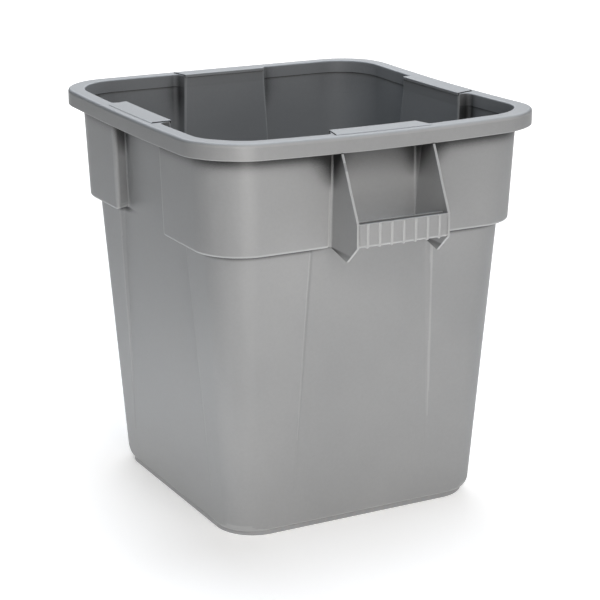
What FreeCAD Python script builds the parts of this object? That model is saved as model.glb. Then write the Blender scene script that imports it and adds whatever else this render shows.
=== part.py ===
"""Square heavy-duty waste bin with a deep rim, four stepped shoulders and two ribbed handles.

Millimetres. +Z up, origin at the centre of the face it stands on. The handles are on -Y (front)
and +Y (rear). The real bin is one plastic moulding: each node here is one region of it, cut
where the wall changes direction, and neighbouring regions meet face to face.
"""
import FreeCAD, Part
import math
import os

os.makedirs("parts", exist_ok=True)

# ---- driving dimensions -------------------------------------------------------------------
WALL = 3.2                 # thickness of every wall

FOOT_HEIGHT = 7.0          # ring that the bin stands on
FOOT_HALF = 199.5          # its half width
FOOT_RADIUS = 57.5         # its corner radius
FOOT_WIDTH = 12.5          # how wide the ring is, seen from below

BASE_HALF = 200.3          # lower wall: half width where it starts, just above the foot
BASE_RADIUS = 36.5         # and its corner radius there
BASE_BLEND = 15.0          # height over which the corners curve in to the foot
BASE_BLEND_STEPS = (0.0, 0.12, 0.35, 0.65, 1.0)    # where that curve is cut, as shares of it
PANEL_START = 60.0         # height where the side panels begin to sink into the wall

LEDGE_HEIGHT = 420.0       # height of the ledge under the shoulders
LEDGE_HALF = 230.0         # lower wall: half width at the ledge
LEDGE_RADIUS = 57.0        # and its corner radius there
PANEL_HALF_AT_LEDGE = 223.5   # distance of a side panel from the centre at the ledge

SHOULDER_HALF_LOW = 244.3  # shoulder: half width at the ledge
SHOULDER_HALF_HIGH = 249.6  # and level with the bottom of the rim's skirt
SHOULDER_RADIUS = 69.0
SHOULDER_EDGE_HANDLE = 72.0    # where a shoulder ends on a handle side, from the side's middle
SHOULDER_EDGE_SHORT = 73.0     # on a plain side, at the front left and rear right corners
SHOULDER_EDGE_LONG = 85.0      # and at the other two, so that pocket isn't centred
ROOT_OFFSET_HANDLE = (0.0, -6.5)    # where the end wall meets the panel, past the edge: low, high
ROOT_OFFSET_PLAIN = (7.0, -2.5)     # the same on a plain side; a pocket gets wider downwards
SHOULDER_END_SHIFT = 2.8   # sideways step from the outside of the end wall to its inside

PANEL_EDGE_HANDLE_SIDE = (110.0, 96.5)    # half width of a handle-side panel, low and high
PANEL_EDGE_PLAIN_SIDE = (135.0, 115.5)    # the same on the two plain sides
PANEL_STEP_RUN = (2.0, 7.0)               # width of the slanted step round it, low and high
PANEL_STEP_SHIFT = 1.5     # sideways step from the outside of that slant to its inside

RIM_TOP = 581.0
RIM_HALF = 269.0
RIM_RADIUS = 80.0
RIM_SKIRT = 23.0           # height of the skirt that hangs from the flange
RIM_EDGE = 4.5             # rounded upper outer edge

PAD_RAISE = 1.5            # how far a pad stands above the flange
PAD_OUTER = 259.0          # how far out it runs over the flange
PAD_HALF_LENGTH = 74.0     # half length of its raised part
PAD_OVERHANG = 1.5         # how far its inner edge passes the panel below it

PLATE_THICKNESS = 3.6
PLATE_START = 14.0         # how far in front of the side panel a handle plate starts
PLATE_X_ROOT = 73.2        # outside of a handle plate at the wall
PLATE_X_TIP = 72.0         # and at its outer edge
PLATE_REACH = 312.5        # distance of the grip's face from the centre
PLATE_KNEE = (291.3, 509.4)    # point on the plate's slanted upper edge
PLATE_TIP = (285.7, 410.0)     # lowest corner of the plate
GRIP_TOP = 467.0
GRIP_BOTTOM = 434.5
GRIP_DEPTH = 15.8          # front to back of the grip's channel
GRIP_HALF_LENGTH = 69.5
RIB_COUNT = 7
RIB_PITCH = 18.5
RIB_WIDTH = 4.0
RIB_PROUD = 1.5

# ---- derived sizes ------------------------------------------------------------------------
SKIRT_BOTTOM = RIM_TOP - RIM_SKIRT
FLANGE_UNDERSIDE = RIM_TOP - WALL
CORNERS = {"front_left": (-1, -1), "front_right": (1, -1), "rear_left": (-1, 1), "rear_right": (1, 1)}


def between(low, high, z, z_low, z_high):
    """Value on a straight line that is low at z_low and high at z_high."""
    return low + (high - low) * (z - z_low) / (z_high - z_low)


def lower_half(z):
    """Half width of the lower wall."""
    return between(BASE_HALF, LEDGE_HALF, z, FOOT_HEIGHT, LEDGE_HEIGHT)


def lower_radius(z):
    """Corner radius of the lower wall."""
    return between(BASE_RADIUS, LEDGE_RADIUS, z, FOOT_HEIGHT, LEDGE_HEIGHT)


def blended_radius(z):
    """Corner radius near the foot, where it grows downwards along a quarter ellipse."""
    share = min(1.0, (z - FOOT_HEIGHT) / BASE_BLEND)
    growth = 1 - math.sqrt(1 - (1 - share) ** 2)
    return lower_radius(z) + (FOOT_RADIUS - BASE_RADIUS) * growth


def panel_half(z):
    """Distance of the outside of a side panel from the centre, up to the rim."""
    return between(lower_half(PANEL_START), PANEL_HALF_AT_LEDGE, z, PANEL_START, LEDGE_HEIGHT)


def shoulder_half(z):
    """Half width of a shoulder."""
    return between(SHOULDER_HALF_LOW, SHOULDER_HALF_HIGH, z, LEDGE_HEIGHT, SKIRT_BOTTOM)


def shoulder_ends(edge, root_offset, z):
    """Edge and root of the end wall of a shoulder, from the middle of the side."""
    return edge, edge + between(root_offset[0], root_offset[1], z, LEDGE_HEIGHT, SKIRT_BOTTOM)


def panel_edges(edge_low_high, z):
    """Edge and root of the slanted step beside a panel, from the middle of the side."""
    edge = between(edge_low_high[0], edge_low_high[1], z, PANEL_START, LEDGE_HEIGHT)
    run = between(PANEL_STEP_RUN[0], PANEL_STEP_RUN[1], z, PANEL_START, LEDGE_HEIGHT)
    return edge, edge - run


# ---- drawing helpers ----------------------------------------------------------------------
def point(x, y, z):
    return FreeCAD.Vector(x, y, z)


def quarter_arc(centre, radius, start_degrees, end_degrees, z):
    """Arc about (centre, centre) from one angle to the other."""
    ends = []
    for degrees in (start_degrees, 0.5 * (start_degrees + end_degrees), end_degrees):
        angle = math.radians(degrees)
        ends.append(point(centre + radius * math.cos(angle), centre + radius * math.sin(angle), z))
    return Part.Arc(*ends).toShape()


def lines_through(points):
    return [Part.LineSegment(a, b).toShape() for a, b in zip(points, points[1:])]


def rounded_square(half, radius, z):
    """Closed wire of a square with round corners, centred on the Z axis."""
    edges = []
    straight = half - radius
    for quarter in range(4):
        side = Part.LineSegment(point(half, -straight, z), point(half, straight, z)).toShape()
        corner = quarter_arc(straight, radius, 0, 90, z)
        for edge in (side, corner):
            edge.rotate(point(0, 0, 0), point(0, 0, 1), 90 * quarter)
            edges.append(edge)
    return Part.Wire(edges)


def loft(*wires):
    """Solid with straight sides through closed wires."""
    return Part.makeLoft(list(wires), True, True)


def tapered_square(low, high):
    """Solid between two (half width, corner radius, height) rounded squares."""
    return loft(rounded_square(*low), rounded_square(*high))


def prism(points, direction):
    """Polygon swept along a straight direction."""
    wire = Part.makePolygon(points + points[:1])
    return Part.Face(wire).extrude(direction)


def save(name, shape):
    shape = shape.removeSplitter()
    if not shape.isValid():
        raise ValueError(name + " is not a valid solid")
    shape.exportStep("parts/" + name + ".step")


def place_in_corner(shape, signs):
    """Copy a shape made for the +X +Y corner into the corner with these signs."""
    for sign, normal in zip(signs, (point(1, 0, 0), point(0, 1, 0))):
        if sign < 0:
            shape = shape.mirror(point(0, 0, 0), normal)
    return shape


# ---- foot and base ------------------------------------------------------------------------
def foot_ring():
    outer = tapered_square((FOOT_HALF, FOOT_RADIUS, 0), (FOOT_HALF, FOOT_RADIUS, FOOT_HEIGHT))
    inner_half = FOOT_HALF - FOOT_WIDTH
    inner_radius = FOOT_RADIUS - FOOT_WIDTH
    inner = tapered_square((inner_half, inner_radius, 0), (inner_half, inner_radius, FOOT_HEIGHT))
    return outer.cut(inner)


def edges_at_height(shape, z):
    found = []
    for edge in shape.Edges:
        if edge.BoundBox.ZMin > z - 0.01 and edge.BoundBox.ZMax < z + 0.01:
            found.append(edge)
    return found


def base_block(inset):
    """Solid plug of the lowest part of the bin, shrunk and raised by inset."""
    heights = [FOOT_HEIGHT + BASE_BLEND * share for share in BASE_BLEND_STEPS]
    sections = []
    for z in heights:
        sections.append(rounded_square(lower_half(z) - inset, blended_radius(z) - inset, z + inset))
    top = PANEL_START
    sections.append(rounded_square(lower_half(top) - inset, lower_radius(top) - inset, top))
    return loft(*sections)


def base_pan():
    return base_block(0).cut(base_block(WALL))


# ---- side panels --------------------------------------------------------------------------
def panel_section(left, right, shift, z):
    """Thin cross-section of a rear panel, wider on the inside by the shift."""
    outside = panel_half(z)
    inside = outside - WALL
    corners = [point(-left, outside, z), point(right, outside, z)]
    corners += [point(right + shift, inside, z), point(-left - shift, inside, z)]
    return Part.makePolygon(corners + corners[:1])


def side_panel(edge_low_high, left_edge, right_edge, root_offset):
    """Rear panel: the wide part below the ledge, and the narrow part between two shoulders."""
    lower = []
    for z in (PANEL_START, LEDGE_HEIGHT):
        root = panel_edges(edge_low_high, z)[1]
        lower.append(panel_section(root, root, PANEL_STEP_SHIFT, z))
    upper = []
    for z in (LEDGE_HEIGHT, FLANGE_UNDERSIDE):
        left = shoulder_ends(left_edge, root_offset, z)[1]
        right = shoulder_ends(right_edge, root_offset, z)[1]
        upper.append(panel_section(left, right, SHOULDER_END_SHIFT, z))
    return loft(*lower).fuse(loft(*upper))


# ---- corner walls and shoulders -----------------------------------------------------------
def corner_path(half, radius, panel, edges_x, edges_y, z):
    """Edges from a panel on the +Y side, round the +X +Y corner, to a panel on the +X side."""
    edge_x, root_x = edges_x
    edge_y, root_y = edges_y
    straight = half - radius
    start = [point(root_x, panel, z), point(edge_x, half, z), point(straight, half, z)]
    end = [point(half, straight, z), point(half, edge_y, z), point(panel, root_y, z)]
    corner = quarter_arc(straight, radius, 90, 0, z)
    return lines_through(start) + [corner] + lines_through(end), start[0], end[-1]


def corner_section(half, radius, panel, edges_x, edges_y, shift, z):
    """Closed wire of the wall's cross-section round one corner."""
    outer, outer_start, outer_end = corner_path(half, radius, panel, edges_x, edges_y, z)
    inner_x = [value + shift for value in edges_x]
    inner_y = [value + shift for value in edges_y]
    inner, inner_start, inner_end = corner_path(
        half - WALL, radius - WALL, panel - WALL, inner_x, inner_y, z)
    ends = lines_through([outer_end, inner_end]) + lines_through([inner_start, outer_start])
    return Part.Wire(Part.__sortEdges__(outer + inner + ends))


def lower_section(z):
    edges_x = panel_edges(PANEL_EDGE_HANDLE_SIDE, z)
    edges_y = panel_edges(PANEL_EDGE_PLAIN_SIDE, z)
    return corner_section(
        lower_half(z), lower_radius(z), panel_half(z), edges_x, edges_y, PANEL_STEP_SHIFT, z)


def corner_wall():
    return loft(lower_section(PANEL_START), lower_section(LEDGE_HEIGHT))


def shoulder_section(plain_edge, z):
    ends_x = shoulder_ends(SHOULDER_EDGE_HANDLE, ROOT_OFFSET_HANDLE, z)
    ends_y = shoulder_ends(plain_edge, ROOT_OFFSET_PLAIN, z)
    return corner_section(
        shoulder_half(z), SHOULDER_RADIUS, panel_half(z), ends_x, ends_y, SHOULDER_END_SHIFT, z)


def ledge(plain_edge):
    """Flat step under a shoulder, from the shoulder's outside to the lower wall's inside."""
    z = LEDGE_HEIGHT
    ends_x = shoulder_ends(SHOULDER_EDGE_HANDLE, ROOT_OFFSET_HANDLE, z)
    ends_y = shoulder_ends(plain_edge, ROOT_OFFSET_PLAIN, z)
    outer, outer_start, outer_end = corner_path(
        shoulder_half(z), SHOULDER_RADIUS, panel_half(z), ends_x, ends_y, z)
    low_x = [value + PANEL_STEP_SHIFT for value in panel_edges(PANEL_EDGE_HANDLE_SIDE, z)]
    low_y = [value + PANEL_STEP_SHIFT for value in panel_edges(PANEL_EDGE_PLAIN_SIDE, z)]
    inside = panel_half(z) - WALL
    inner, inner_start, inner_end = corner_path(
        lower_half(z) - WALL, lower_radius(z) - WALL, inside, low_x, low_y, z)
    root_x = ends_x[1] + SHOULDER_END_SHIFT
    root_y = ends_y[1] + SHOULDER_END_SHIFT
    end_x = lines_through([inner_start, point(root_x, inside, z), outer_start])
    end_y = lines_through([outer_end, point(inside, root_y, z), inner_end])
    wire = Part.Wire(Part.__sortEdges__(outer + end_y + inner + end_x))
    return Part.Face(wire).extrude(point(0, 0, WALL))


def shoulder(plain_edge):
    """Shoulder of the +X +Y corner, with its ledge."""
    wall = loft(shoulder_section(plain_edge, LEDGE_HEIGHT), shoulder_section(plain_edge, FLANGE_UNDERSIDE))
    return wall.fuse(ledge(plain_edge))


# ---- rim and pads -------------------------------------------------------------------------
def rim():
    """Flat flange with a skirt hanging from its outer edge."""
    outer = tapered_square((RIM_HALF, RIM_RADIUS, SKIRT_BOTTOM), (RIM_HALF, RIM_RADIUS, RIM_TOP))
    outer = outer.makeFillet(RIM_EDGE, edges_at_height(outer, RIM_TOP))
    hollow_half = RIM_HALF - WALL
    hollow_radius = RIM_RADIUS - WALL
    hollow = tapered_square((hollow_half, hollow_radius, SKIRT_BOTTOM),
                            (hollow_half, hollow_radius, FLANGE_UNDERSIDE))
    mouth_half = shoulder_half(FLANGE_UNDERSIDE) - WALL
    mouth_radius = SHOULDER_RADIUS - WALL
    mouth = tapered_square((mouth_half, mouth_radius, FLANGE_UNDERSIDE),
                           (mouth_half, mouth_radius, RIM_TOP))
    return outer.cut(hollow).cut(mouth)


def rim_pad(left_edge, right_edge, root_offset):
    """Rear pad: closes the top of the pocket between two shoulders and stands on the flange."""
    mouth = shoulder_half(FLANGE_UNDERSIDE) - WALL
    inner = panel_half(FLANGE_UNDERSIDE) - WALL - PAD_OVERHANG
    left = shoulder_ends(left_edge + SHOULDER_END_SHIFT, root_offset, FLANGE_UNDERSIDE)
    right = shoulder_ends(right_edge + SHOULDER_END_SHIFT, root_offset, FLANGE_UNDERSIDE)
    fill = [point(-left[1], inner, FLANGE_UNDERSIDE), point(right[1], inner, FLANGE_UNDERSIDE),
            point(right[0], mouth, FLANGE_UNDERSIDE), point(-left[0], mouth, FLANGE_UNDERSIDE)]
    raised = [point(-left[1], inner, RIM_TOP), point(right[1], inner, RIM_TOP),
              point(PAD_HALF_LENGTH, PAD_OUTER, RIM_TOP), point(-PAD_HALF_LENGTH, PAD_OUTER, RIM_TOP)]
    block = prism(fill, point(0, 0, WALL))
    return block.fuse(prism(raised, point(0, 0, PAD_RAISE)))


# ---- handles (drawn for the rear side, then turned round for the front) ----------------------
def plate_outline():
    """Outline of a handle plate, (y, z): the wall, under the rim, then down its outer edge."""
    skirt_inside = RIM_HALF - WALL
    return [(panel_half(FLANGE_UNDERSIDE) + PLATE_START, FLANGE_UNDERSIDE),
            (skirt_inside, FLANGE_UNDERSIDE),
            (skirt_inside, SKIRT_BOTTOM),
            (RIM_HALF + PAD_RAISE, SKIRT_BOTTOM),
            PLATE_KNEE,
            (PLATE_REACH, GRIP_TOP),
            (PLATE_REACH, GRIP_BOTTOM),
            PLATE_TIP,
            (SHOULDER_HALF_LOW, LEDGE_HEIGHT),
            (panel_half(LEDGE_HEIGHT) + PLATE_START, LEDGE_HEIGHT)]


def handle_plate(neighbours):
    """Plate at +X that leans inwards a little, trimmed by the wall that it grows from."""
    far = 2 * RIM_HALF
    profile = prism([point(0, y, z) for y, z in plate_outline()], point(far, 0, 0))
    y_root = PANEL_HALF_AT_LEDGE - WALL
    y_tip = PLATE_REACH + WALL
    plan = [point(PLATE_X_ROOT, y_root, 0), point(PLATE_X_TIP, y_tip, 0),
            point(PLATE_X_TIP - PLATE_THICKNESS, y_tip, 0),
            point(PLATE_X_ROOT - PLATE_THICKNESS, y_root, 0)]
    plate = profile.common(prism(plan, point(0, 0, RIM_TOP)))
    for neighbour in neighbours:
        plate = plate.cut(neighbour)
    return plate


def grip_rib(x):
    """Upright half-round rib on the face of the grip."""
    start = point(x, PLATE_REACH, GRIP_BOTTOM - RIB_PROUD)
    rib = Part.makeCylinder(0.5 * RIB_WIDTH, GRIP_TOP - GRIP_BOTTOM, start, point(0, 0, 1))
    flatten = FreeCAD.Matrix()
    flatten.scale(1, RIB_PROUD / (0.5 * RIB_WIDTH), 1)
    rib.translate(point(0, -PLATE_REACH, 0))
    rib = rib.transformGeometry(flatten)
    rib.translate(point(0, PLATE_REACH, 0))
    return rib


def grip(plates):
    """Channel that is open upwards, with ribs on its face, trimmed to fit between the plates."""
    length = 2 * GRIP_HALF_LENGTH
    start = point(-GRIP_HALF_LENGTH, PLATE_REACH - GRIP_DEPTH, GRIP_BOTTOM)
    block = Part.makeBox(length, GRIP_DEPTH, GRIP_TOP - GRIP_BOTTOM, start)
    low_edges = [edge for edge in edges_at_height(block, GRIP_BOTTOM) if edge.Length > GRIP_DEPTH + 1]
    block = block.makeFillet(WALL, low_edges)
    slot_start = start + point(0, WALL, WALL)
    slot = Part.makeBox(length, GRIP_DEPTH - 2 * WALL, GRIP_TOP - GRIP_BOTTOM, slot_start)
    channel = block.cut(slot)
    for index in range(RIB_COUNT):
        channel = channel.fuse(grip_rib((index - 0.5 * (RIB_COUNT - 1)) * RIB_PITCH))
    for plate in plates:
        channel = channel.cut(plate)
    return channel


def turned(shape, degrees):
    """Copy of a shape, turned about the bin's upright axis."""
    copy = shape.copy()
    copy.rotate(point(0, 0, 0), point(0, 0, 1), degrees)
    return copy


# ---- the whole bin ------------------------------------------------------------------------
def main():
    save("foot_ring", foot_ring())
    save("base_pan", base_pan())

    handle_side = (SHOULDER_EDGE_HANDLE, SHOULDER_EDGE_HANDLE, ROOT_OFFSET_HANDLE)
    plain_side = (SHOULDER_EDGE_SHORT, SHOULDER_EDGE_LONG, ROOT_OFFSET_PLAIN)
    rear_panel = side_panel(PANEL_EDGE_HANDLE_SIDE, *handle_side)
    plain_panel = side_panel(PANEL_EDGE_PLAIN_SIDE, *plain_side)
    save("rear_panel", rear_panel)
    save("front_panel", turned(rear_panel, 180))
    save("left_panel", turned(plain_panel, 90))
    save("right_panel", turned(plain_panel, -90))

    wall = corner_wall()
    right_panel = turned(plain_panel, -90)
    mirrored_panel = right_panel.mirror(point(0, 0, 0), point(0, 1, 0))
    short_step = shoulder(SHOULDER_EDGE_SHORT).cut(rear_panel).cut(right_panel)
    long_step = shoulder(SHOULDER_EDGE_LONG).cut(rear_panel).cut(mirrored_panel)
    for corner, signs in CORNERS.items():
        step = short_step if signs[0] == signs[1] else long_step
        save("corner_wall_" + corner, place_in_corner(wall, signs))
        save("shoulder_" + corner, place_in_corner(step, signs))

    whole_rim = rim()
    save("rim", whole_rim)
    handle_side_pad = rim_pad(*handle_side)
    plain_side_pad = rim_pad(*plain_side)
    save("rim_pad_rear", handle_side_pad)
    save("rim_pad_front", turned(handle_side_pad, 180))
    save("rim_pad_left", turned(plain_side_pad, 90))
    save("rim_pad_right", turned(plain_side_pad, -90))

    plate = handle_plate([short_step, rear_panel, whole_rim])
    other_plate = plate.mirror(point(0, 0, 0), point(1, 0, 0))
    handle_grip = grip([plate, other_plate])
    save("rear_handle_right_plate", plate)
    save("rear_handle_left_plate", other_plate)
    save("rear_handle_grip", handle_grip)
    save("front_handle_left_plate", turned(plate, 180))
    save("front_handle_right_plate", turned(other_plate, 180))
    save("front_handle_grip", turned(handle_grip, 180))


main()
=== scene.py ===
"""Square heavy-duty waste bin: the visual model, in metres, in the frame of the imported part.

The real bin is one plastic moulding. Every piece here is one region of it and stands for the
CAD node of the same name. The walls are made from one set of outlines, so that neighbouring
pieces share their edges exactly and read as one surface.
"""
import math

import bmesh
import bpy
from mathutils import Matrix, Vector


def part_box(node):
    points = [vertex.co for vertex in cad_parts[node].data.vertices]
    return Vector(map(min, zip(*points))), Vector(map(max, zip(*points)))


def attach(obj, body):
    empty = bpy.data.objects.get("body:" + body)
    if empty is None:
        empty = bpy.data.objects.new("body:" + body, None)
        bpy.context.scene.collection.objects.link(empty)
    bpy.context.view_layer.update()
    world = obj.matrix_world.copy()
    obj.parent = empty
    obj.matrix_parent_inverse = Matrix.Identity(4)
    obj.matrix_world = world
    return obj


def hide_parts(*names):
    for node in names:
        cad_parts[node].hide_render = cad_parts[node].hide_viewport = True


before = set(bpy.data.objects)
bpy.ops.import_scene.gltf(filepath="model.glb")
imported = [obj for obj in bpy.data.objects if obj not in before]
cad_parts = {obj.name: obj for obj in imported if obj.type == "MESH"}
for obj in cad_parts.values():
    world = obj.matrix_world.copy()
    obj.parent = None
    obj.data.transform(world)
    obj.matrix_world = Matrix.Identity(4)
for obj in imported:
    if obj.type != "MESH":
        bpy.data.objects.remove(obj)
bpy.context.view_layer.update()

MM = 0.001

# ---- sizes shared with the CAD part -------------------------------------------------------
WALL = 3.2 * MM
BASE_HALF = 200.3 * MM
BASE_RADIUS = 36.5 * MM
BASE_BLEND = 15.0 * MM
PANEL_START = 60.0 * MM
LEDGE_HEIGHT = 420.0 * MM
LEDGE_HALF = 230.0 * MM
LEDGE_RADIUS = 57.0 * MM
PANEL_HALF_AT_LEDGE = 223.5 * MM
SHOULDER_HALF_LOW = 244.3 * MM
SHOULDER_HALF_HIGH = 249.6 * MM
SHOULDER_RADIUS = 69.0 * MM
SHOULDER_EDGES = (72.0 * MM, 73.0 * MM, 85.0 * MM)     # handle side, short and long plain end
ROOT_OFFSETS = ((0.0, -6.5 * MM), (7.0 * MM, -2.5 * MM), (7.0 * MM, -2.5 * MM))
SHOULDER_END_SHIFT = 2.8 * MM
PANEL_ENDS_LOW = ((110.0 * MM, 108.0 * MM), (135.0 * MM, 133.0 * MM), (135.0 * MM, 133.0 * MM))
PANEL_ENDS_HIGH = ((96.5 * MM, 89.5 * MM), (115.5 * MM, 108.5 * MM), (115.5 * MM, 108.5 * MM))
HANDLE_END, SHORT_END, LONG_END = 0, 1, 2              # places in the four lists above
PANEL_STEP_SHIFT = 1.5 * MM
RIM_RADIUS = 80.0 * MM
PAD_RAISE = 1.5 * MM
PAD_OUTER = 259.0 * MM
PAD_HALF_LENGTH = 74.0 * MM
PAD_OVERHANG = 1.5 * MM
FOOT_RADIUS = 57.5 * MM
FOOT_WIDTH = 12.5 * MM

FOOT_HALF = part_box("foot_ring")[1].x
FOOT_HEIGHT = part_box("foot_ring")[1].z
RIM_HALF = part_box("rim")[1].x
RIM_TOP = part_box("rim")[1].z
SKIRT_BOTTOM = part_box("rim")[0].z
FLANGE_UNDERSIDE = RIM_TOP - WALL

# ---- details that only the visual model has -------------------------------------------------
SEAM = 6.0 * MM                # a panel piece ends this far short of the slanted step beside it
STEP_FILLET = 3.0 * MM         # rounding of the panel step and of the shoulder's root
SHOULDER_FILLET = 6.5 * MM     # rounding of the shoulder's upright edge
LEDGE_INNER_FILLET = 2.0 * MM
LEDGE_OUTER_FILLET = 3.6 * MM
CORNER_STEPS = 24
FILLET_STEPS = 4
PANEL_COLUMNS = 8
LOWER_CUT = 412.0 * MM         # between the lower wall and the shoulder, just below the ledge
LEDGE_CLEAR = 430.0 * MM       # above this the shoulder's wall is straight
LOWER_ROW_GAPS = 9
SHOULDER_ROW_GAPS = 4
UPPER_CUT = 562.5 * MM         # between the shoulder and the rim, at a fine step inside
UPPER_STEP = 0.8 * MM          # how far the rim's inside stands proud at that step
SAG_FRONT = 4.2 * MM           # how far the rim dips at the middle of each side
SAG_REAR = 0.0
SAG_PLAIN_SIDE = 3.2 * MM
SAG_SPAN = 228.0 * MM          # from a side's middle to where its dip ends
SAG_START = 520.0 * MM         # below this height nothing dips
SAG_FULL = 558.0 * MM          # and from here up everything dips fully
SHARP_DEGREES = 38.0           # a fold between two faces that shading keeps crisp
EDGE_BEND_LEAST = 5.0          # degrees between two faces of a rounded edge
EDGE_BEND_MOST = 60.0
EDGE_BEND_FULL = 24.0          # a fold from which the edge is fully pale, partly wear and partly painted highlight
EDGE_FACE_WIDTH = 4.5 * MM     # faces wider than this aren't part of a rounded edge
DOUBLES = 1e-6                 # metres, for points that meet


def between(low, high, share):
    return low + (high - low) * share


def share_of(z, z_low, z_high):
    return (z - z_low) / (z_high - z_low)


def clamp(value):
    return max(0.0, min(1.0, value))


# ---- the walls' outlines ----------------------------------------------------------------------
def lower_half(z):
    return between(BASE_HALF, LEDGE_HALF, share_of(z, FOOT_HEIGHT, LEDGE_HEIGHT))


def lower_radius(z):
    """Corner radius of the lower wall, which grows along a quarter ellipse near the foot."""
    radius = between(BASE_RADIUS, LEDGE_RADIUS, share_of(z, FOOT_HEIGHT, LEDGE_HEIGHT))
    share = clamp(share_of(z, FOOT_HEIGHT, FOOT_HEIGHT + BASE_BLEND))
    return radius + (FOOT_RADIUS - BASE_RADIUS) * (1 - math.sqrt(1 - (1 - share) ** 2))


def panel_half(z):
    low = lower_half(PANEL_START)
    return between(low, PANEL_HALF_AT_LEDGE, share_of(z, PANEL_START, LEDGE_HEIGHT))


def shoulder_half(z):
    share = share_of(z, LEDGE_HEIGHT, SKIRT_BOTTOM)
    return between(SHOULDER_HALF_LOW, SHOULDER_HALF_HIGH, share)


def shoulder_ends(end, z):
    """(edge, root) of a shoulder's end wall, from the middle of the side."""
    share = max(0.0, share_of(z, LEDGE_HEIGHT, SKIRT_BOTTOM))
    edge = SHOULDER_EDGES[end]
    return edge, edge + between(*ROOT_OFFSETS[end], share)


def wall_ends(step, z):
    """(edge, root) for each kind of end: step 0 is the slanted panel step and 1 the shoulder."""
    share = clamp(share_of(z, PANEL_START, LEDGE_HEIGHT))
    ends = []
    for end in (HANDLE_END, SHORT_END, LONG_END):
        panel = [between(a, b, share) for a, b in zip(PANEL_ENDS_LOW[end], PANEL_ENDS_HIGH[end])]
        ends.append(tuple(between(a, b, step) for a, b in zip(panel, shoulder_ends(end, z))))
    return ends


def wall_row(step, z, z_panel, inset=0.0):
    """One horizontal cut of the wall: step goes from 0, the lower wall, to 1, the shoulder."""
    half = between(lower_half(min(z, LEDGE_HEIGHT)), shoulder_half(max(z, LEDGE_HEIGHT)), step)
    radius = between(lower_radius(min(z, LEDGE_HEIGHT)), SHOULDER_RADIUS, step)
    panel = min(half, panel_half(z_panel))
    shift = between(PANEL_STEP_SHIFT, SHOULDER_END_SHIFT, step) if inset else 0.0
    ends = wall_ends(step, z)
    cuts = [root - SEAM for edge, root in ends]
    ends = [(edge + shift, root + shift) for edge, root in ends]
    fillet = between(STEP_FILLET, SHOULDER_FILLET, step)
    return {"half": half - inset, "radius": radius - inset, "panel": panel - inset, "ends": ends,
            "cuts": cuts, "fillet": fillet, "z": z, "z_panel": z_panel}


def plain_row(half, radius, z, like):
    """A row that follows no panel, with its points beside those of the row that it is like."""
    return dict(like, half=half, radius=radius, panel=half, z=z, z_panel=z)


def bend(before, corner, after, start, end, steps):
    """Points of a smooth curve round a corner, from start before it to end after it."""
    first = corner + (before - corner).normalized() * start
    last = corner + (after - corner).normalized() * end
    points = []
    for index in range(steps + 1):
        t = index / steps
        points.append(first * (1 - t) ** 2 + corner * (2 * t * (1 - t)) + last * t ** 2)
    return points


def half_side(row, side):
    """Outline from a panel's seam to the start of the round corner, as (along, out) points."""
    edge, root = row["ends"][side]
    seam = Vector((row["cuts"][side], row["panel"]))
    low = Vector((root, row["panel"]))
    high = Vector((edge, row["half"]))
    straight = Vector((row["half"] - row["radius"], row["half"]))
    room = 0.45 * (high - low).length
    points = [seam]
    points += bend(seam, low, high, min(STEP_FILLET, room), min(STEP_FILLET, room), FILLET_STEPS)
    points += bend(low, high, straight, min(row["fillet"], room), row["fillet"], FILLET_STEPS)
    middle = points[-1].lerp(straight, 0.5)
    return points + [middle, straight]


def depth_share(row, along_out):
    """0 on the panel's plane and 1 on the outside of the wall."""
    depth = row["half"] - row["panel"]
    return clamp((along_out.y - row["panel"]) / depth) if depth > 1e-9 else 1.0


def corner_points(row, plain_end=SHORT_END):
    """The wall's cut round the +X +Y corner, from the handle side to the plain side."""
    handle_side = half_side(row, HANDLE_END)
    plain_side = half_side(row, plain_end)
    points = []
    for p in handle_side:
        points.append(Vector((p.x, p.y, between(row["z_panel"], row["z"], depth_share(row, p)))))
    centre = row["half"] - row["radius"]
    for index in range(1, CORNER_STEPS):
        angle = math.radians(90 * (1 - index / CORNER_STEPS))
        x = centre + row["radius"] * math.cos(angle)
        y = centre + row["radius"] * math.sin(angle)
        points.append(Vector((x, y, row["z"])))
    for p in reversed(plain_side):
        points.append(Vector((p.y, p.x, between(row["z_panel"], row["z"], depth_share(row, p)))))
    return points


def across(start, end):
    """Points strictly between two seams, across a panel."""
    return [start.lerp(end, index / PANEL_COLUMNS) for index in range(1, PANEL_COLUMNS)]


def flip(points, x, y):
    return [Vector((p.x * x, p.y * y, p.z)) for p in points]


def plain_end_at(x, y):
    """Which plain end the corner with these signs has: the bin looks the same after half a turn."""
    return SHORT_END if x == y else LONG_END


def full_loop(row):
    """The cut all the way round, clockwise from above."""
    loop = []
    for x, y in ((1, 1), (1, -1), (-1, -1), (-1, 1)):
        points = flip(corner_points(row, plain_end_at(x, y)), x, y)
        if x * y < 0:
            points.reverse()
        if loop:
            loop += across(loop[-1], points[0])
        loop += points
    return loop + across(loop[-1], loop[0])


def lower_rows(inset):
    """Rows of the lower wall, from the base pan up to the cut under the ledge."""
    shares = [index / LOWER_ROW_GAPS for index in range(LOWER_ROW_GAPS + 1)]
    heights = [between(PANEL_START, LOWER_CUT, share) for share in shares]
    return [wall_row(0.0, z, z, inset) for z in heights]


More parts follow.
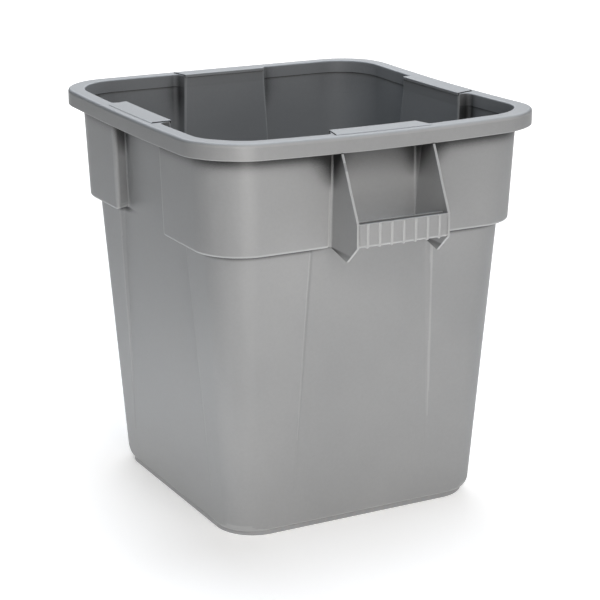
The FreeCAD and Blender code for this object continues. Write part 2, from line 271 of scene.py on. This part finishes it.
def ledge_profile():
    """(step, height) from the lower wall's top, out under the ledge and into the shoulder."""
    width = SHOULDER_HALF_LOW - LEDGE_HALF
    low = Vector((0, LEDGE_HEIGHT))
    high = Vector((width, LEDGE_HEIGHT))
    up = Vector((0, 1))
    inner_fillet, outer_fillet = LEDGE_INNER_FILLET, LEDGE_OUTER_FILLET
    inner = bend(low - up, low, high, inner_fillet, inner_fillet, FILLET_STEPS)
    outer = bend(low, high, high + up, outer_fillet, outer_fillet, FILLET_STEPS + 1)
    return [(p.x / width, p.y) for p in inner + outer]


def shoulder_rows(inset):
    """Rows of a shoulder. On the panel behind it they spread out evenly over the ledge's height."""
    profile = ledge_profile()
    rows = [wall_row(0.0, LOWER_CUT, LOWER_CUT, inset)]
    for index, (step, z) in enumerate(profile):
        z_panel = between(LOWER_CUT, LEDGE_CLEAR, (index + 1) / (len(profile) + 1))
        rows.append(wall_row(step, z + inset, z_panel, inset))
    for index in range(SHOULDER_ROW_GAPS + 1):
        z = between(LEDGE_CLEAR, UPPER_CUT, index / SHOULDER_ROW_GAPS)
        rows.append(wall_row(1.0, z, z, inset))
    return rows


# ---- making meshes ------------------------------------------------------------------------------
def settled(point):
    """The point after the rim's dip, which is deepest at the middle of a side."""
    along, depth = abs(point.x), SAG_FRONT if point.y < 0 else SAG_REAR
    if abs(point.x) > abs(point.y):
        along, depth = abs(point.y), SAG_PLAIN_SIDE
    weight = clamp(share_of(point.z, SAG_START, SAG_FULL))
    weight = weight * weight * (3 - 2 * weight)
    drop = depth * clamp(1 - (along / SAG_SPAN) ** 2) * weight
    return Vector((point.x, point.y, point.z - drop))


def finish_piece(name, mesh_data):
    """Object from a bmesh: clean, smooth-shaded, riding on the body in place of its CAD node."""
    bmesh.ops.remove_doubles(mesh_data, verts=mesh_data.verts, dist=DOUBLES)
    bmesh.ops.dissolve_degenerate(mesh_data, edges=mesh_data.edges, dist=0.1 * DOUBLES)
    bmesh.ops.recalc_face_normals(mesh_data, faces=mesh_data.faces)
    for vertex in mesh_data.verts:
        vertex.co = settled(vertex.co)
    mesh = bpy.data.meshes.new(name)
    mesh_data.to_mesh(mesh)
    mesh_data.free()
    piece = bpy.data.objects.new(name, mesh)
    bpy.context.scene.collection.objects.link(piece)
    mesh.polygons.foreach_set("use_smooth", [True] * len(mesh.polygons))
    mesh.set_sharp_from_angle(angle=math.radians(SHARP_DEGREES))
    weighted = piece.modifiers.new("flat faces", "WEIGHTED_NORMAL")
    weighted.keep_sharp = True
    evaluated = piece.evaluated_get(bpy.context.evaluated_depsgraph_get())
    piece.data = bpy.data.meshes.new_from_object(evaluated)
    piece.data.name = name
    piece.modifiers.clear()
    mark_round_edges(piece.data)
    piece.data.materials.clear()
    piece.data.materials.append(plastic())
    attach(piece, "root")
    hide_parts(name)
    return piece


def mark_round_edges(mesh):
    """Attribute "edge": how pale a face corner is made, up to 1 on a rounded outer edge; partly wear,
    partly painted highlight.
    """
    mesh_data = bmesh.new()
    mesh_data.from_mesh(mesh)
    bends = {}
    for edge in mesh_data.edges:
        if edge.is_manifold:
            degrees = math.degrees(edge.calc_face_angle_signed(0.0))
            bends[edge] = degrees if EDGE_BEND_LEAST < degrees < EDGE_BEND_MOST else 0.0
    wear_and_highlight = {}
    for vertex in mesh_data.verts:
        bend_here = max((bends.get(edge, 0.0) for edge in vertex.link_edges), default=0.0)
        wear_and_highlight[vertex] = clamp(bend_here / EDGE_BEND_FULL)
    values = []
    for face in mesh_data.faces:
        bent = [edge.calc_length() for edge in face.edges if bends.get(edge, 0.0) > 0.0]
        rounded = len(bent) >= 2 and face.calc_area() / max(bent) < EDGE_FACE_WIDTH
        values += [wear_and_highlight[loop.vert] if rounded else 0.0 for loop in face.loops]
    mesh_data.free()
    mesh.attributes.new("edge", "FLOAT", "CORNER").data.foreach_set("value", values)


def add_grid(mesh_data, rows, around=False):
    """Quads between rows of points. Returns the rows of vertices."""
    made = [[mesh_data.verts.new(p) for p in row] for row in rows]
    for lower, upper in zip(made, made[1:]):
        count = len(lower)
        for index in range(count if around else count - 1):
            following = (index + 1) % count
            mesh_data.faces.new((lower[index], lower[following], upper[following], upper[index]))
    return made


def add_strip(mesh_data, first, second):
    """Quads between two equally long lines of vertices."""
    for (a, b), (c, d) in zip(zip(first, first[1:]), zip(second, second[1:])):
        mesh_data.faces.new((a, b, d, c))


def shell_piece(name, outer_rows, inner_rows):
    """Closed piece between an outer and an inner grid of points."""
    mesh_data = bmesh.new()
    outer = add_grid(mesh_data, outer_rows)
    inner = add_grid(mesh_data, inner_rows)
    for row in (0, -1):
        add_strip(mesh_data, outer[row], inner[row])
    for column in (0, -1):
        add_strip(mesh_data, [row[column] for row in outer], [row[column] for row in inner])
    return finish_piece(name, mesh_data)


def ring_piece(name, loops, closed=True):
    """Closed piece from loops; if they don't come back to the first, each end gets a cap."""
    mesh_data = bmesh.new()
    made = add_grid(mesh_data, loops + ([loops[0]] if closed else []), around=True)
    if not closed:
        mesh_data.faces.new(made[0])
        mesh_data.faces.new(made[-1])
    return finish_piece(name, mesh_data)


# ---- material -----------------------------------------------------------------------------------
DARK_GREY = (0.286, 0.290, 0.293, 1)
LIGHT_GREY = (0.318, 0.321, 0.323, 1)
EDGE_WEAR_AND_HIGHLIGHT_GAIN = 1.45               # how much paler a fully marked edge is: partly wear, partly painted highlight
SKIRT_SHADE = (0.49, 0.548)    # heights in metres over which painted shade below the skirt sets in
LEDGE_SHADE = (0.409, 0.418)   # the same below the ledge
LEDGE_SHADE_END = (0.420, 0.423)


def add_node(tree, kind, **values):
    """Shader node with some of its inputs set."""
    node = tree.nodes.new("ShaderNode" + kind)
    for socket, value in values.items():
        node.inputs[socket.replace("_", " ")].default_value = value
    return node


def noise(tree, place, scale, detail, roughness):
    node = add_node(tree, "TexNoise", Scale=scale, Detail=detail, Roughness=roughness)
    tree.links.new(place, node.inputs["Vector"])
    return node.outputs["Fac"]


def remap(tree, source, low, high, from_low=0.3, from_high=0.7):
    """Node whose result goes from low to high as the source goes from from_low to from_high."""
    node = add_node(tree, "MapRange", From_Min=from_low, From_Max=from_high, To_Min=low, To_Max=high)
    tree.links.new(source, node.inputs["Value"])
    return node


def remapped(tree, source, low, high, from_low=0.3, from_high=0.7):
    return remap(tree, source, low, high, from_low, from_high).outputs["Result"]


def combine(tree, operation, first, second):
    node = add_node(tree, "Math")
    node.operation = operation
    tree.links.new(first, node.inputs[0])
    tree.links.new(second, node.inputs[1])
    return node.outputs["Value"]


def open_heights(tree, place):
    """1 where the wall gets no painted shade, and 0 just below the skirt and just below the ledge."""
    split = add_node(tree, "SeparateXYZ")
    tree.links.new(place, split.inputs["Vector"])
    height = split.outputs["Z"]
    above_ledge = remapped(tree, height, 0.0, 1.0, *LEDGE_SHADE_END)
    below_ledge = remapped(tree, height, 1.0, 0.0, *LEDGE_SHADE)
    near_ledge = combine(tree, "MAXIMUM", below_ledge, above_ledge)
    below_skirt = remapped(tree, height, 1.0, 0.0, *SKIRT_SHADE)
    return combine(tree, "MINIMUM", below_skirt, near_ledge)


def painted_shade(tree, open_wall, distance, least, most, from_low, from_high):
    """Painted shade: darkening where the surface is closed in within a distance, except on the open
    wall.
    """
    crevice = add_node(tree, "AmbientOcclusion", Distance=distance)
    crevice.samples = 12
    unshaded = remap(tree, crevice.outputs["AO"], 0.0, 1.0, 0.0, 1.0)
    tree.links.new(open_wall, unshaded.inputs["To Min"])
    return remapped(tree, unshaded.outputs["Result"], least, most, from_low, from_high)


def plastic_tone(tree, place, cloud):
    """Lightness of the plastic: fine flecks, pale edges that are partly wear and partly painted
    highlight, and painted shade in the corners.
    """
    speckle = noise(tree, place, 210.0, 2.0, 0.5)
    fleck = remapped(tree, speckle, 0.985, 1.015)
    # Pale rounded edges: partly wear, partly a painted highlight on the edges.
    wear_and_highlight = add_node(tree, "Attribute")
    wear_and_highlight.attribute_name = "edge"
    patchy = remapped(tree, cloud, 0.75, 1.0)
    rub_and_highlight = combine(tree, "MULTIPLY", wear_and_highlight.outputs["Fac"], patchy)
    pale_and_highlight = remapped(tree, rub_and_highlight, 1.0, EDGE_WEAR_AND_HIGHLIGHT_GAIN, 0.0, 1.0)
    open_wall = open_heights(tree, place)
    # Painted shade from ambient occlusion in corners and hollows, below the skirt and the ledge.
    corners = painted_shade(tree, open_wall, 0.04, 0.08, 0.92, 0.68, 0.94)
    hollows = painted_shade(tree, open_wall, 0.12, 0.40, 1.0, 0.60, 0.90)
    surface = combine(tree, "MULTIPLY", fleck, pale_and_highlight)
    return combine(tree, "MULTIPLY", surface, combine(tree, "MULTIPLY", corners, hollows))


def plastic_bump(tree, place):
    """Moulded grain over a broad, shallow unevenness."""
    broad = add_node(tree, "Bump", Strength=0.3, Distance=0.0012)
    tree.links.new(noise(tree, place, 14.0, 2.0, 0.4), broad.inputs["Height"])
    fine = add_node(tree, "Bump", Strength=0.25, Distance=0.00012)
    tree.links.new(noise(tree, place, 900.0, 3.0, 0.6), fine.inputs["Height"])
    tree.links.new(broad.outputs["Normal"], fine.inputs["Normal"])
    return fine.outputs["Normal"]


def plastic():
    """Grey polyethylene; made once and shared by every piece."""
    name = "grey_polyethylene"
    if name in bpy.data.materials:
        return bpy.data.materials[name]
    material = bpy.data.materials.new(name)
    material.use_nodes = True
    tree = material.node_tree
    shader = tree.nodes["Principled BSDF"]
    shader.inputs["Specular IOR Level"].default_value = 0.45
    shader.inputs["IOR"].default_value = 1.5

    place = add_node(tree, "TexCoord").outputs["Object"]
    cloud = noise(tree, place, 5.0, 3.0, 0.5)
    colour = add_node(tree, "ValToRGB")
    dark, light = colour.color_ramp.elements
    dark.position, dark.color = 0.32, DARK_GREY
    light.position, light.color = 0.68, LIGHT_GREY
    tree.links.new(cloud, colour.inputs["Fac"])

    tint = add_node(tree, "VectorMath")
    tint.operation = "SCALE"
    tree.links.new(colour.outputs["Color"], tint.inputs[0])
    tree.links.new(plastic_tone(tree, place, cloud), tint.inputs["Scale"])
    tree.links.new(tint.outputs["Vector"], shader.inputs["Base Color"])
    tree.links.new(remapped(tree, cloud, 0.40, 0.50), shader.inputs["Roughness"])
    tree.links.new(plastic_bump(tree, place), shader.inputs["Normal"])
    return material


# ---- foot, base and walls -----------------------------------------------------------------------
def foot_ring():
    """Ring that the bin stands on: a narrow band with rounded lower edges."""
    like = wall_row(0.0, PANEL_START, PANEL_START)
    round_edge = 1.2 * MM
    inner_half = FOOT_HALF - FOOT_WIDTH
    profile = []
    for out, z, turn in ((FOOT_HALF, 0.0, 1), (FOOT_HALF, FOOT_HEIGHT, 0),
                         (inner_half, FOOT_HEIGHT, 0), (inner_half, 0.0, 1)):
        corner = Vector((out, z))
        if turn:
            sideways = Vector((inner_half if out == FOOT_HALF else FOOT_HALF, z))
            upward = Vector((out, FOOT_HEIGHT))
            points = bend(sideways, corner, upward, round_edge, round_edge, 3)
            profile += points if out == FOOT_HALF else reversed(points)
        else:
            profile.append(corner)
    loops = []
    for p in profile:
        row = plain_row(p.x, FOOT_RADIUS - (FOOT_HALF - p.x), p.y, like)
        loops.append(full_loop(row))
    return ring_piece("foot_ring", loops)


def scaled_loops(loop, z, shares):
    """Smaller and smaller copies of a loop, for a flat bottom."""
    return [[Vector((p.x * share, p.y * share, z)) for p in loop] for share in shares]


def base_pan():
    """Floor and lowest wall: inside from the middle up, over the top, and back under."""
    like = wall_row(0.0, PANEL_START, PANEL_START)
    edge = 2.4 * MM
    inner_edge = 9.0 * MM
    floor = FOOT_HEIGHT + WALL
    shares = [1 - 0.085 * index for index in range(1, 12)]

    inner = []
    blend_steps = (0.02, 0.12, 0.3, 0.55, 0.8, 1.0)
    for share in blend_steps:
        lift = inner_edge * (1 - math.sqrt(1 - (1 - share) ** 2)) if share < 1 else 0.0
        z = floor + (BASE_BLEND - WALL) * share
        half = lower_half(z) - WALL - lift
        inner.append(full_loop(plain_row(half, lower_radius(z) - WALL, z, like)))
    inner.append(full_loop(wall_row(0.0, PANEL_START, PANEL_START, WALL)))
    bottom = scaled_loops(inner[0], floor, shares)

    outer = [full_loop(wall_row(0.0, PANEL_START, PANEL_START))]
    for share in (1.0, 0.75, 0.5, 0.3, 0.16):
        z = FOOT_HEIGHT + BASE_BLEND * share
        outer.append(full_loop(plain_row(lower_half(z), lower_radius(z), z, like)))
    low = Vector((lower_half(FOOT_HEIGHT), FOOT_HEIGHT))
    for p in bend(low + Vector((0, 1)), low, low - Vector((1, 0)), 0.9 * edge, edge, 3)[1:]:
        outer.append(full_loop(plain_row(p.x, lower_radius(p.y) - (low.x - p.x), p.y, like)))
    underside = scaled_loops(outer[-1], FOOT_HEIGHT, shares)
    return ring_piece("base_pan", bottom[::-1] + inner + outer + underside, closed=False)


CORNERS = {"front_left": (-1, -1), "front_right": (1, -1),
           "rear_left": (-1, 1), "rear_right": (1, 1)}     # signs of x and y


def corner_pieces():
    for name, (x, y) in CORNERS.items():
        for piece, rows in (("corner_wall_", lower_rows), ("shoulder_", shoulder_rows)):
            end = plain_end_at(x, y)
            outer = [flip(corner_points(row, end), x, y) for row in rows(0.0)]
            inner = [flip(corner_points(row, end), x, y) for row in rows(WALL)]
            shell_piece(piece + name, outer, inner)


def panel_grid(inset, left_end, right_end):
    """Rows of points across a rear panel from seam to seam, from the base pan up to the rim."""
    grid = []
    for row in lower_rows(inset)[:-1] + shoulder_rows(inset):
        left = Vector((-row["cuts"][left_end], row["panel"], row["z_panel"]))
        right = Vector((row["cuts"][right_end], row["panel"], row["z_panel"]))
        grid.append([left] + across(left, right) + [right])
    return grid


def turned(points, quarter):
    """Points turned about the bin's axis by quarter turns, counter-clockwise from above."""
    turns = {0: lambda p: (p.x, p.y), 1: lambda p: (-p.y, p.x), 2: lambda p: (-p.x, -p.y),
             3: lambda p: (p.y, -p.x)}
    return [Vector((*turns[quarter](p), p.z)) for p in points]


SIDES = {"rear": 0, "left": 1, "front": 2, "right": 3}     # quarter turns from the rear


def side_ends(quarter):
    """Kinds of the two ends of a side, drawn at the rear and then turned."""
    return (SHORT_END, LONG_END) if quarter % 2 else (HANDLE_END, HANDLE_END)


def panel_pieces():
    for name, quarter in SIDES.items():
        outer = [turned(row, quarter) for row in panel_grid(0.0, *side_ends(quarter))]
        inner = [turned(row, quarter) for row in panel_grid(WALL, *side_ends(quarter))]
        shell_piece(name + "_panel", outer, inner)


# ---- rim and pads -------------------------------------------------------------------------------
def rim():
    """Wall top, flange and hanging skirt, as one section taken all the way round."""
    wall = wall_row(1.0, UPPER_CUT, UPPER_CUT)
    top = wall_row(1.0, FLANGE_UNDERSIDE, FLANGE_UNDERSIDE)
    skirt_inner = RIM_HALF - WALL
    crease = 1.5 * MM
    bottom_edge = 1.1 * MM
    top_edge = 5.5 * MM
    mouth_edge = 2.6 * MM
    loops = [full_loop(wall)]

    def wall_loop(z, inset):
        row = wall_row(1.0, FLANGE_UNDERSIDE, FLANGE_UNDERSIDE, inset)
        return full_loop(dict(row, z=z, z_panel=z))

    def skirt_loop(half, z):
        return full_loop(plain_row(half, RIM_RADIUS - (RIM_HALF - half), z, top))

    loops.append(full_loop(wall_row(1.0, FLANGE_UNDERSIDE - crease, FLANGE_UNDERSIDE - crease)))
    loops.append(wall_loop(FLANGE_UNDERSIDE, -crease))
    loops.append(skirt_loop(skirt_inner - crease, FLANGE_UNDERSIDE))
    loops.append(skirt_loop(skirt_inner, FLANGE_UNDERSIDE - crease))
    corners = ((Vector((skirt_inner, RIM_TOP)), Vector((skirt_inner, SKIRT_BOTTOM)),
                Vector((RIM_HALF, SKIRT_BOTTOM)), bottom_edge, 3),
               (Vector((skirt_inner, SKIRT_BOTTOM)), Vector((RIM_HALF, SKIRT_BOTTOM)),
                Vector((RIM_HALF, RIM_TOP)), bottom_edge, 3),
               (Vector((RIM_HALF, SKIRT_BOTTOM)), Vector((RIM_HALF, RIM_TOP)),
                Vector((skirt_inner, RIM_TOP)), top_edge, 6))
    for before, corner, after, size, steps in corners:
        for p in bend(before, corner, after, size, size, steps):
            loops.append(skirt_loop(p.x, p.y))

    mouth_corner = Vector((0, RIM_TOP))
    for p in bend(Vector((-1, RIM_TOP)), mouth_corner, Vector((0, 0)), mouth_edge, mouth_edge, 5):
        loops.append(wall_loop(p.y, WALL + UPPER_STEP + p.x))
    proud = wall_row(1.0, UPPER_CUT, UPPER_CUT, WALL)
    loops.append(full_loop(dict(proud, half=proud["half"] - UPPER_STEP)))
    loops.append(full_loop(proud))
    return ring_piece("rim", loops)


def pad_piece(name, quarter):
    """Raised pad: a thin plate on the flange with a fascia that hangs over the pocket's inside."""
    inner = panel_half(FLANGE_UNDERSIDE) - WALL - PAD_OVERHANG
    low, high = FLANGE_UNDERSIDE, RIM_TOP + PAD_RAISE
    behind = inner + PAD_OVERHANG
    sunk = RIM_TOP - 0.2 * MM
    slope = 2.2 * MM
    ends = [shoulder_ends(end, FLANGE_UNDERSIDE) for end in side_ends(quarter)]
    roots = [root + SHOULDER_END_SHIFT for edge, root in ends]
    outline = [Vector((PAD_OUTER, sunk)), Vector((PAD_OUTER - slope, high)), Vector((inner, high)),
               Vector((inner, low)), Vector((behind, low)), Vector((behind, sunk))]
    columns = 12
    rows = []
    for index in range(columns + 1):
        row = []
        for p in outline:
            share = share_of(p.x, inner, PAD_OUTER)
            left, right = (between(root, PAD_HALF_LENGTH, share) for root in roots)
            row.append(Vector((between(-left, right, index / columns), p.x, p.y)))
        rows.append(turned(row, quarter))
    mesh_data = bmesh.new()
    made = add_grid(mesh_data, rows, around=True)
    mesh_data.faces.new(made[0])
    mesh_data.faces.new(made[-1])
    round_edges(mesh_data, lambda edge: edge_is_sharp(edge, 60), 0.7 * MM, 3)
    return finish_piece(name, mesh_data)


def edge_is_sharp(edge, degrees):
    return len(edge.link_faces) == 2 and edge.calc_face_angle(0.0) > math.radians(degrees)


def round_edges(mesh_data, wanted, size, steps):
    """Round every edge that is wanted."""
    bmesh.ops.recalc_face_normals(mesh_data, faces=mesh_data.faces)
    edges = [edge for edge in mesh_data.edges if wanted(edge)]
    bmesh.ops.bevel(mesh_data, geom=edges, offset=size, segments=steps, profile=0.5,
                    affect="EDGES", clamp_overlap=True)


# ---- handles --------------------------------------------------------------------------------------
PLATE_THICKNESS = 3.6 * MM
PLATE_X_ROOT = 73.2 * MM
PLATE_X_TIP = 72.0 * MM
PLATE_REACH = 312.5 * MM
PLATE_KNEE = (291.3 * MM, 509.4 * MM)
PLATE_TIP = (285.7 * MM, 410.0 * MM)
GRIP_TOP = 467.0 * MM
GRIP_BOTTOM = 434.5 * MM
GRIP_DEPTH = 15.8 * MM
RIB_COUNT = 7
RIB_PITCH = 18.5 * MM
RIB_WIDTH = 4.0 * MM
RIB_PROUD = 1.5 * MM
RIB_SHARES = (-1.3, -1.0, -0.92, -0.7, -0.38, 0.0, 0.38, 0.7, 0.92, 1.0, 1.3)
ROOT_FLARE = 3.4 * MM
PLATE_ROUND_FROM = SHOULDER_HALF_LOW + 6.0 * MM    # outside this a plate's edges are rounded
PLATE_HOLD = 15.5 * MM         # how far a plate's inner face runs in behind its root
PLATE_SINK = 0.8 * MM          # how far its flared root is sunk into the shoulder
GRIP_LIP = 0.9 * MM
GRIP_UNDER = 3.4 * MM
GRIP_SINK = 0.3 * MM           # how far each end of the grip runs into its plate


def plate_x(y):
    """Outside of a handle plate, which leans inwards towards its outer edge."""
    return between(PLATE_X_ROOT, PLATE_X_TIP, share_of(y, PANEL_HALF_AT_LEDGE, PLATE_REACH))


def plate_stations():
    """Straight lines across the plate, each as a wall point and an outer point, from the top down."""
    skirt_inner = RIM_HALF - WALL
    flush = RIM_HALF + PAD_RAISE
    hidden = 0.4 * MM
    root_start = SKIRT_BOTTOM - 2.0 * MM
    outer = [((skirt_inner, FLANGE_UNDERSIDE), FLANGE_UNDERSIDE),
             ((skirt_inner, SKIRT_BOTTOM), SKIRT_BOTTOM + 1.5 * MM),
             ((flush - hidden, SKIRT_BOTTOM - hidden), root_start)]
    knee_out, knee_height = PLATE_KNEE
    for index in range(1, 4):
        share = index / 4
        tip = (between(flush, knee_out, share), between(SKIRT_BOTTOM, knee_height, share))
        outer.append((tip, between(root_start, knee_height, share)))
    outer += [(PLATE_KNEE, knee_height),
              ((PLATE_REACH, GRIP_TOP), GRIP_TOP),
              ((PLATE_REACH, GRIP_BOTTOM), GRIP_BOTTOM + 8.5 * MM),
              (PLATE_TIP, LEDGE_HEIGHT + 0.5 * MM)]
    return [(Vector((shoulder_half(z), z)), Vector(tip)) for tip, z in outer]


def plate_section(root, tip):
    """Closed cut across the plate along one station, as (x, y, z) points."""
    reach = (tip - root).length

    def at(distance, x_out):
        p = root.lerp(tip, distance / reach)
        return Vector((plate_x(p.x) + x_out, p.x, p.y))

    points = [at(-PLATE_HOLD, -PLATE_THICKNESS), at(reach, -PLATE_THICKNESS), at(reach, 0.0)]
    root_corner = Vector((0.0, 0.0))
    flare = bend(Vector((0.0, 1.0)), root_corner, Vector((1.0, 0.0)), ROOT_FLARE, ROOT_FLARE, 4)
    points += [at(p.y, p.x) for p in flare]
    points.append(at(-PLATE_SINK, ROOT_FLARE))
    points.append(at(-PLATE_SINK, -0.5 * PLATE_THICKNESS))
    return points


def plate_piece(name, mirrored, quarter):
    """Side plate of a handle, with a flared root on its outside and rounded edges."""
    rows = [plate_section(root, tip) for root, tip in plate_stations()]
    if mirrored:
        rows = [flip(row, -1, 1) for row in rows]
    rows = [turned(row, quarter) for row in rows]
    mesh_data = bmesh.new()
    made = add_grid(mesh_data, rows, around=True)
    mesh_data.faces.new(made[0])
    mesh_data.faces.new(made[-1])

    def outer_edge(edge):
        along = [abs(v.co.y) for v in edge.verts]
        return min(along) > PLATE_ROUND_FROM and edge_is_sharp(edge, 50)

    round_edges(mesh_data, outer_edge, 1.1 * MM, 3)
    return finish_piece(name, mesh_data)


def rib_height(x):
    """How far a rib stands out at a place along the grip, as a share of its full height."""
    offset = x - RIB_PITCH * round(x / RIB_PITCH)
    inside = abs(offset) < 0.5 * RIB_WIDTH
    return math.sqrt(max(0.0, 1 - (2 * offset / RIB_WIDTH) ** 2)) if inside else 0.0


def grip_columns(half_length):
    """Places along the grip: the rib edges, points over each rib, and the plain stretches."""
    places = {-half_length, half_length}
    for index in range(RIB_COUNT):
        centre = (index - 0.5 * (RIB_COUNT - 1)) * RIB_PITCH
        for share in RIB_SHARES:
            place = centre + 0.5 * share * RIB_WIDTH
            if abs(place) < half_length:
                places.add(place)
    return sorted(places)


def grip_section(height):
    """Cut across the grip's channel, as (y, z) points, with the rib's height on its outside."""
    front, rear = PLATE_REACH, PLATE_REACH - GRIP_DEPTH
    face = front + RIB_PROUD * height
    low = GRIP_BOTTOM - RIB_PROUD * height
    lip, under = GRIP_LIP, GRIP_UNDER
    corners = [(Vector((face, GRIP_TOP)), lip, 2), (Vector((front - WALL, GRIP_TOP)), lip, 2),
               (Vector((front - WALL, GRIP_BOTTOM + WALL)), 2 * lip, 3),
               (Vector((rear + WALL, GRIP_BOTTOM + WALL)), 2 * lip, 3),
               (Vector((rear + WALL, GRIP_TOP)), lip, 2), (Vector((rear, GRIP_TOP)), lip, 2),
               (Vector((rear, GRIP_BOTTOM)), under, 4), (Vector((face, low)), under, 4)]
    points = []
    for index, (corner, size, steps) in enumerate(corners):
        before = corners[index - 1][0]
        after = corners[(index + 1) % len(corners)][0]
        points += bend(before, corner, after, size, size, steps)
    return points


def grip_piece(name, quarter):
    """Ribbed grip between the two plates: a channel that is open upwards."""
    half_length = plate_x(PLATE_REACH - GRIP_DEPTH) - PLATE_THICKNESS + GRIP_SINK
    rows = []
    for x in grip_columns(half_length):
        rows.append([Vector((x, p.x, p.y)) for p in grip_section(rib_height(x))])
    mesh_data = bmesh.new()
    made = add_grid(mesh_data, [turned(row, quarter) for row in rows], around=True)
    mesh_data.faces.new(made[0])
    mesh_data.faces.new(made[-1])
    return finish_piece(name, mesh_data)


def handles():
    for end, quarter in (("rear", 0), ("front", 2)):
        # Seen from the same side of the bin, the front handle's right plate is the turned left one.
        plate_piece(end + "_handle_right_plate", quarter == 2, quarter)
        plate_piece(end + "_handle_left_plate", quarter == 0, quarter)
        grip_piece(end + "_handle_grip", quarter)


# ---- studio -----------------------------------------------------------------------------------------
FLOOR_HALF = 12.0
FLOOR_WHITE = 0.86
FLOOR_GLOW = 0.42
COOL = (0.88, 0.98, 1.11)
WARM = (1.03, 1.0, 0.97)
NEUTRAL = (1.0, 1.0, 1.0)
LENS = 115.18                  # mm on a 36 mm sensor
VIEW_FROM = Vector((-1.28695, -2.42897, 1.09219))
VIEW_ALONG = Vector((0.451352, 0.845360, -0.285741))


def studio_floor():
    """Wide white sheet under the bin."""
    mesh_data = bmesh.new()
    bmesh.ops.create_grid(mesh_data, x_segments=8, y_segments=8, size=FLOOR_HALF)
    mesh = bpy.data.meshes.new("studio_floor")
    mesh_data.to_mesh(mesh)
    mesh_data.free()
    floor = bpy.data.objects.new("studio_floor", mesh)
    bpy.context.scene.collection.objects.link(floor)
    material = bpy.data.materials.new("white_sheet")
    material.use_nodes = True
    shader = material.node_tree.nodes["Principled BSDF"]
    shader.inputs["Base Color"].default_value = (FLOOR_WHITE, FLOOR_WHITE, FLOOR_WHITE, 1)
    shader.inputs["Roughness"].default_value = 0.8
    shader.inputs["Emission Color"].default_value = (1, 1, 1, 1)
    shader.inputs["Emission Strength"].default_value = FLOOR_GLOW
    mesh.materials.append(material)


def area_light(name, place, target, size, radiance, colour):
    """Soft box that shines from place towards target and isn't seen itself."""
    data = bpy.data.lights.new(name, "AREA")
    data.shape = "RECTANGLE"
    data.size, data.size_y = size
    data.energy = math.pi * size[0] * size[1] * radiance
    data.color = colour
    light = bpy.data.objects.new(name, data)
    bpy.context.scene.collection.objects.link(light)
    light.location = place
    light.rotation_euler = (Vector(target) - Vector(place)).to_track_quat("-Z", "Y").to_euler()
    light.visible_camera = False


def lights():
    """Cool box overhead, warm lights in front, and softer ones at the sides and behind."""
    world = bpy.data.worlds.new("studio")
    bpy.context.scene.world = world
    world.use_nodes = True
    background = world.node_tree.nodes["Background"]
    background.inputs["Color"].default_value = (0.9, 0.95, 1.0, 1)
    background.inputs["Strength"].default_value = 0.02
    area_light("overhead", (0.1, 0.1, 2.0), (0.1, 0.1, 0.0), (1.0, 1.0), 5.7, COOL)
    area_light("front_high", (-0.3, -2.2, 1.8), (0.0, 0.0, 0.35), (1.4, 1.0), 2.9, WARM)
    area_light("front_left_key", (-0.35, -1.3, 0.45), (0.0, 0.0, 0.3), (0.4, 0.6), 7.2, WARM)
    area_light("front_key", (-0.2, -1.4, 0.6), (0.0, 0.0, 0.3), (0.4, 0.6), 1.6, WARM)
    area_light("right_high", (1.8, 0.2, 2.0), (0.0, 0.0, 0.3), (1.2, 1.0), 2.2, NEUTRAL)
    area_light("left_bounce", (-0.55, 0.0, 0.05), (0.0, 0.0, 0.05), (0.8, 0.08), 3.0, NEUTRAL)
    area_light("backdrop", (1.6, 3.0, 0.9), (0.0, 0.0, 0.6), (4.0, 1.8), 0.5, NEUTRAL)
    area_light("background", (2.2, 4.6, 3.5), (2.2, 4.6, 0.0), (5.0, 5.0), 3.2, NEUTRAL)
    bpy.context.scene.view_settings.view_transform = "Standard"


def camera():
    """Camera at the photograph's viewing angle."""
    data = bpy.data.cameras.new("photo_view")
    data.sensor_width = 36.0
    data.lens = LENS
    data.clip_start = 0.05
    view = bpy.data.objects.new("photo_view", data)
    bpy.context.scene.collection.objects.link(view)
    view.location = VIEW_FROM
    view.rotation_euler = VIEW_ALONG.to_track_quat("-Z", "Y").to_euler()
    bpy.context.scene.camera = view


def main():
    camera()
    lights()
    studio_floor()
    foot_ring()
    base_pan()
    corner_pieces()
    panel_pieces()
    rim()
    for name, quarter in SIDES.items():
        pad_piece("rim_pad_" + name, quarter)
    handles()


main()
